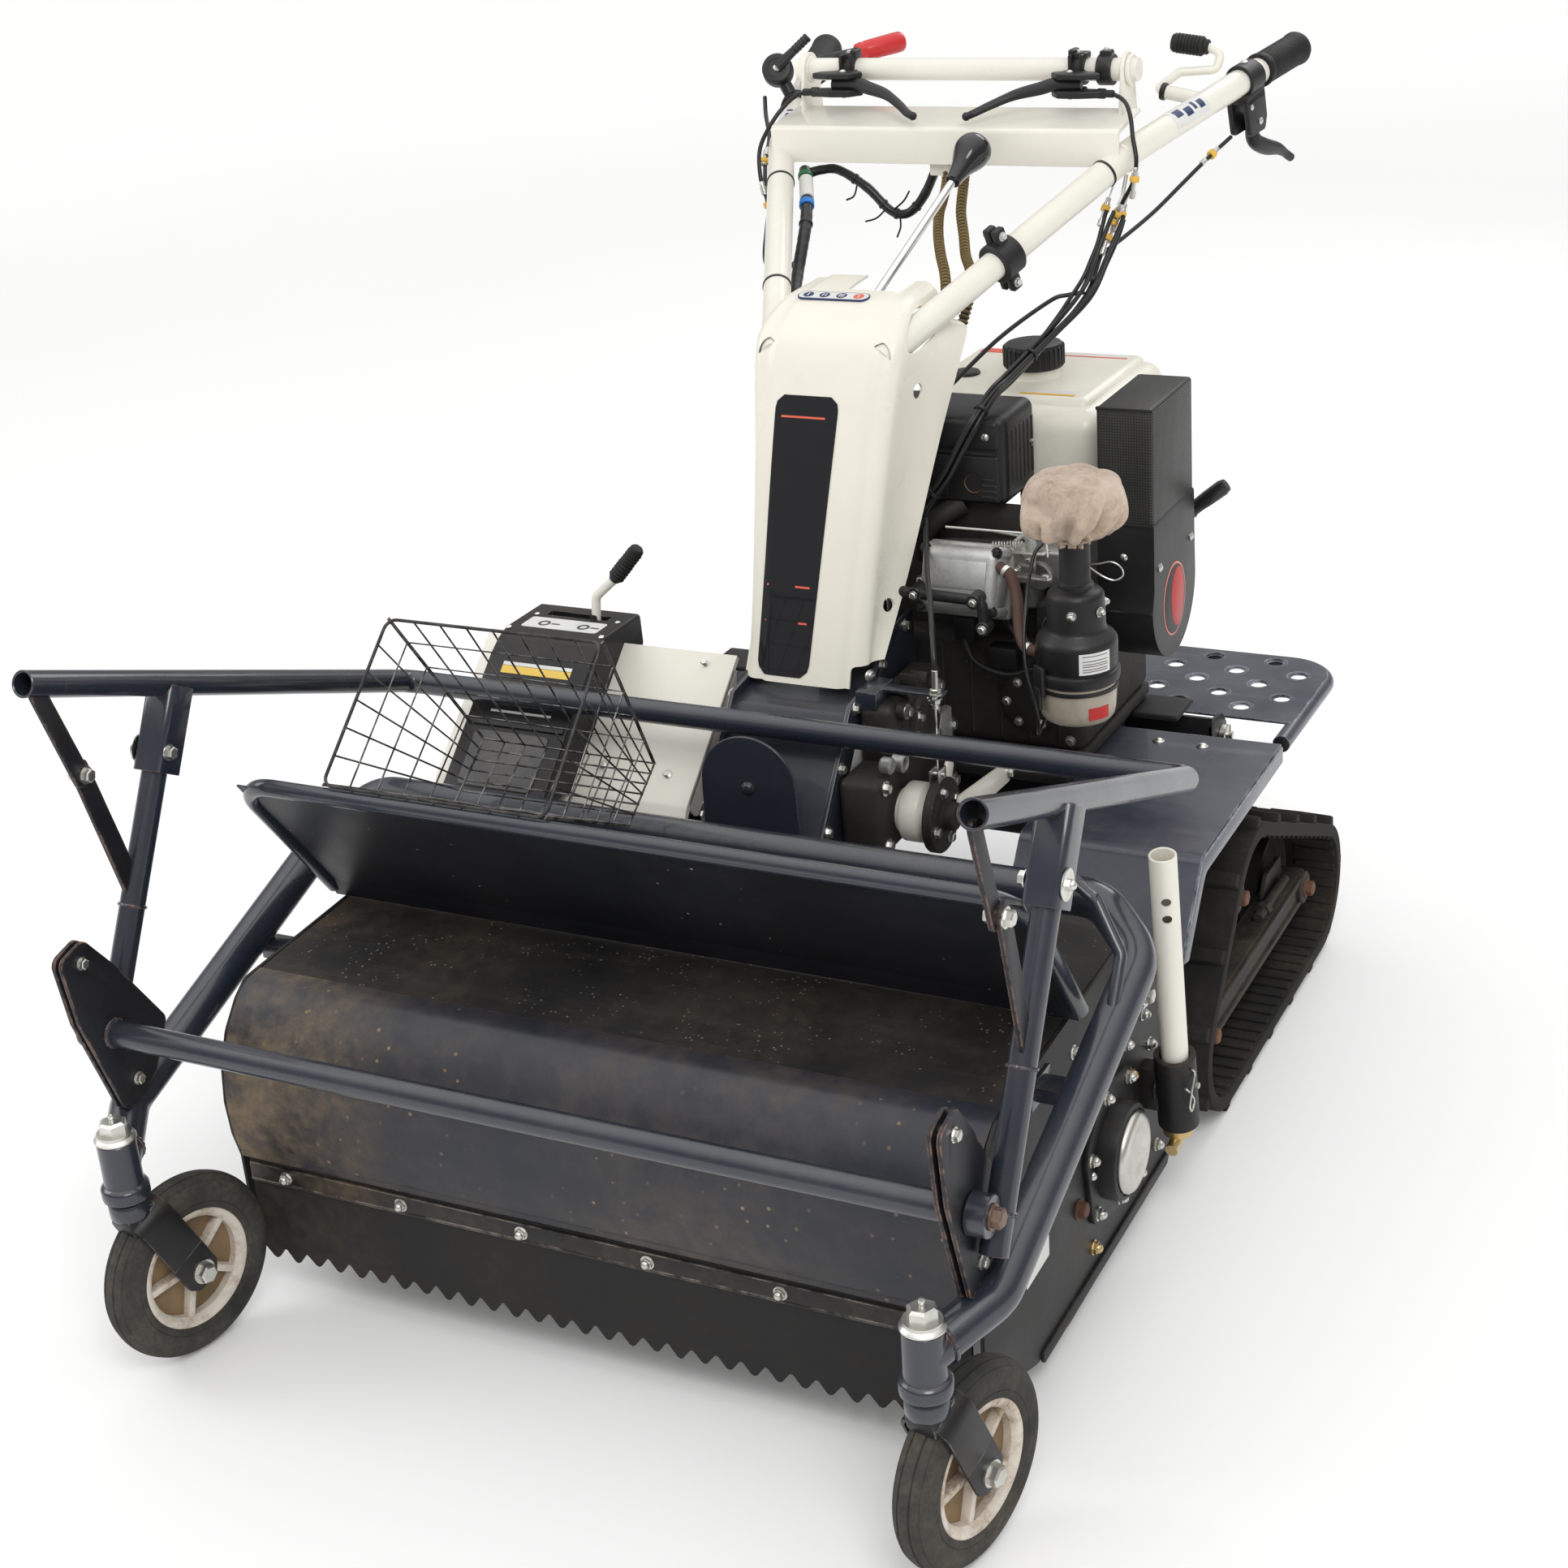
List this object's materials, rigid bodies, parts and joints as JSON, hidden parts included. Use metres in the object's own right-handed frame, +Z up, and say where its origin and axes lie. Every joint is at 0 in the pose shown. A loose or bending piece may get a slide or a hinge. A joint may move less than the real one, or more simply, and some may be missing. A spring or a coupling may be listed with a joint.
{
  "type": "walk-behind tracked flail mower",
  "caption": "Walk-behind flail mower on rubber tracks with a wide hammer-knife deck, swivelling front casters, a tilting tube guard, a wire basket and a side engine.",
  "frame": {"origin": "on the ground, below the middle of the whole machine", "axes": "+Y to the rear, towards the operator; +X to the left side of the machine; +Z up"},
  "size_m": [1.038, 1.6201, 1.1748],
  "materials": {
    "navy_paint": "satin",
    "black_paint": "satin",
    "dusty_black_paint": "matte",
    "cream_paint": "satin",
    "cream_plastic": "satin",
    "black_plastic": "matte",
    "gloss_black_plastic": "gloss",
    "red_plastic": "satin",
    "pale_plastic": "satin",
    "black_rubber": "matte",
    "tyre_rubber": "matte",
    "bare_steel": "satin",
    "silver_casting": "satin",
    "dark_casting": "matte",
    "iron_casting": "matte",
    "beige_cloth": "matte"
  },
  "bodies": {
    "chassis": {"front_cover": "navy_paint", "top_plate": "dusty_black_paint", "rubber_flap": "black_rubber", "side_plate_left": "black_paint", "side_plate_right": "black_paint", "side_pipe": "cream_paint", "caster_frame": "navy_paint", "front_bar": "navy_paint", "deflector_panel": "black_paint", "wire_basket": "black_paint", "switch_box": "black_plastic", "belt_cover": "cream_plastic", "centre_case": "navy_paint", "front_plate": "navy_paint", "gearbox": "iron_casting", "clutch_drum": "cream_paint", "cowl": "cream_plastic", "cowl_panel": "gloss_black_plastic", "handlebar": "cream_paint", "grip_left": "black_rubber", "grip_right": "black_rubber", "engine_block": "dark_casting", "rocker_cover": "silver_casting", "muffler_cover": "black_plastic", "fuel_tank": "cream_plastic", "fan_cover": "black_plastic", "air_cleaner": "black_plastic", "dust_bowl": "pale_plastic", "cloth_cover": "beige_cloth", "fenders": "navy_paint", "step_bracket": "black_paint", "track_left": "black_rubber", "track_right": "black_rubber", "track_frame_left": "black_paint", "track_frame_right": "black_paint", "cable_bundle": "black_rubber", "harness": "black_rubber"},
    "guard": {"guard": "navy_paint"},
    "caster_left": {"caster_fork_left": "black_paint"},
    "caster_right": {"caster_fork_right": "black_paint"},
    "caster_tyre_left": {"caster_wheel_left": "tyre_rubber"},
    "caster_tyre_right": {"caster_wheel_right": "tyre_rubber"},
    "rotor": {"rotor": "bare_steel"},
    "switch_lever": {"switch_lever": "black_plastic"},
    "steering_lever_left": {"steering_lever_left": "black_plastic"},
    "steering_lever_right": {"steering_lever_right": "black_plastic"},
    "trigger": {"trigger": "black_plastic"},
    "throttle_lever": {"throttle_lever": "black_plastic"},
    "side_lever": {"side_lever": "black_plastic"},
    "red_lever": {"red_lever": "red_plastic"},
    "gear_lever": {"gear_lever": "black_plastic"},
    "fuel_cap": {"fuel_cap": "black_plastic"},
    "starter_grip": {"starter_grip": "black_rubber"},
    "rear_step": {"rear_step": "navy_paint"},
    "sprocket_left": {"track_sprocket_left": "iron_casting"},
    "sprocket_right": {"track_sprocket_right": "iron_casting"},
    "front_wheel_left": {"track_front_wheel_left": "iron_casting"},
    "front_wheel_right": {"track_front_wheel_right": "iron_casting"},
    "rear_wheel_left": {"track_rear_wheel_left": "iron_casting"},
    "rear_wheel_right": {"track_rear_wheel_right": "iron_casting"}
  },
  "joints": [
    {"name": "guard_tilt", "type": "hinge", "parent": "chassis", "child": "guard", "pos_m": [0, -0.7186, 0.382], "axis": [1, 0, 0], "range_deg": [0, 30]},
    {"name": "caster_swivel_left", "type": "hinge", "parent": "chassis", "child": "caster_left", "pos_m": [0.446, -0.7626, 0.217], "axis": [0, 0, 1], "continuous": true},
    {"name": "caster_roll_left", "type": "hinge", "parent": "caster_left", "child": "caster_tyre_left", "pos_m": [0.45744, -0.7088, 0.102], "axis": [0.9781, -0.2079, 0], "continuous": true},
    {"name": "caster_swivel_right", "type": "hinge", "parent": "chassis", "child": "caster_right", "pos_m": [-0.446, -0.7626, 0.217], "axis": [0, 0, 1], "continuous": true},
    {"name": "caster_roll_right", "type": "hinge", "parent": "caster_right", "child": "caster_tyre_right", "pos_m": [-0.43456, -0.7088, 0.102], "axis": [0.9781, -0.2079, 0], "continuous": true},
    {"name": "rotor_spin", "type": "hinge", "parent": "chassis", "child": "rotor", "pos_m": [0, -0.2556, 0.163], "axis": [1, 0, 0], "continuous": true},
    {"name": "sprocket_turn_left", "type": "hinge", "parent": "chassis", "child": "sprocket_left", "pos_m": [0.346, 0.2244, 0.226], "axis": [1, 0, 0], "continuous": true},
    {"name": "front_wheel_turn_left", "type": "hinge", "parent": "chassis", "child": "front_wheel_left", "pos_m": [0.346, 0.1124, 0.098], "axis": [1, 0, 0], "continuous": true},
    {"name": "rear_wheel_turn_left", "type": "hinge", "parent": "chassis", "child": "rear_wheel_left", "pos_m": [0.346, 0.5224, 0.098], "axis": [1, 0, 0], "continuous": true},
    {"name": "sprocket_turn_right", "type": "hinge", "parent": "chassis", "child": "sprocket_right", "pos_m": [-0.346, 0.2244, 0.226], "axis": [1, 0, 0], "continuous": true},
    {"name": "front_wheel_turn_right", "type": "hinge", "parent": "chassis", "child": "front_wheel_right", "pos_m": [-0.346, 0.1124, 0.098], "axis": [1, 0, 0], "continuous": true},
    {"name": "rear_wheel_turn_right", "type": "hinge", "parent": "chassis", "child": "rear_wheel_right", "pos_m": [-0.346, 0.5224, 0.098], "axis": [1, 0, 0], "continuous": true},
    {"name": "switch_tilt", "type": "hinge", "parent": "chassis", "child": "switch_lever", "pos_m": [-0.31, 0.0344, 0.55], "axis": [0, 1, 0], "range_deg": [-25, 10]},
    {"name": "steering_squeeze_left", "type": "hinge", "parent": "chassis", "child": "steering_lever_left", "pos_m": [0.147, 0.4714, 1.132], "axis": [0, 0, -1], "range_deg": [0, 14], "stiffness_Nm_per_rad": 1},
    {"name": "steering_squeeze_right", "type": "hinge", "parent": "chassis", "child": "steering_lever_right", "pos_m": [-0.147, 0.4714, 1.132], "axis": [0, 0, 1], "range_deg": [0, 14], "stiffness_Nm_per_rad": 1},
    {"name": "trigger_pull", "type": "hinge", "parent": "chassis", "child": "trigger", "pos_m": [0.29839, 0.692, 1.05368], "axis": [0.9712, -0.2385, 0], "range_deg": [0, 15], "stiffness_Nm_per_rad": 1},
    {"name": "throttle_turn", "type": "hinge", "parent": "chassis", "child": "throttle_lever", "pos_m": [-0.28778, 0.57402, 1.13341], "axis": [0.3519, -0.8545, 0.382], "range_deg": [0, 55]},
    {"name": "side_lever_lift", "type": "hinge", "parent": "chassis", "child": "side_lever", "pos_m": [0.217, 0.6094, 1.101], "axis": [0.9806, 0, -0.1961], "range_deg": [0, 25]},
    {"name": "red_lever_turn", "type": "hinge", "parent": "chassis", "child": "red_lever", "pos_m": [-0.262, 0.6144, 1.1245], "axis": [0.1406, 0.3515, 0.9256], "range_deg": [0, 25]},
    {"name": "gear_shift", "type": "hinge", "parent": "chassis", "child": "gear_lever", "pos_m": [0.0165, 0.1194, 0.923], "axis": [0, 1, 0], "range_deg": [-20, 12]},
    {"name": "fuel_cap_turn", "type": "hinge", "parent": "chassis", "child": "fuel_cap", "pos_m": [0.12, 0.3994, 0.8123], "axis": [0, 0, 1], "range_deg": [0, 90]},
    {"name": "starter_pull", "type": "slide", "parent": "chassis", "child": "starter_grip", "axis": [0.2999, 0.7998, 0.5199], "range_m": [0, 0.3], "stiffness_N_per_m": 60},
    {"name": "step_fold", "type": "hinge", "parent": "chassis", "child": "rear_step", "pos_m": [0, 0.4294, 0.344], "axis": [1, 0, 0], "range_deg": [0, 75]}
  ],
  "couplings": [
    {"joint": "front_wheel_turn_left", "follows": "sprocket_turn_left", "ratio": 1.1},
    {"joint": "rear_wheel_turn_left", "follows": "sprocket_turn_left", "ratio": 1.1},
    {"joint": "front_wheel_turn_right", "follows": "sprocket_turn_right", "ratio": 1.1},
    {"joint": "rear_wheel_turn_right", "follows": "sprocket_turn_right", "ratio": 1.1}
  ]
}
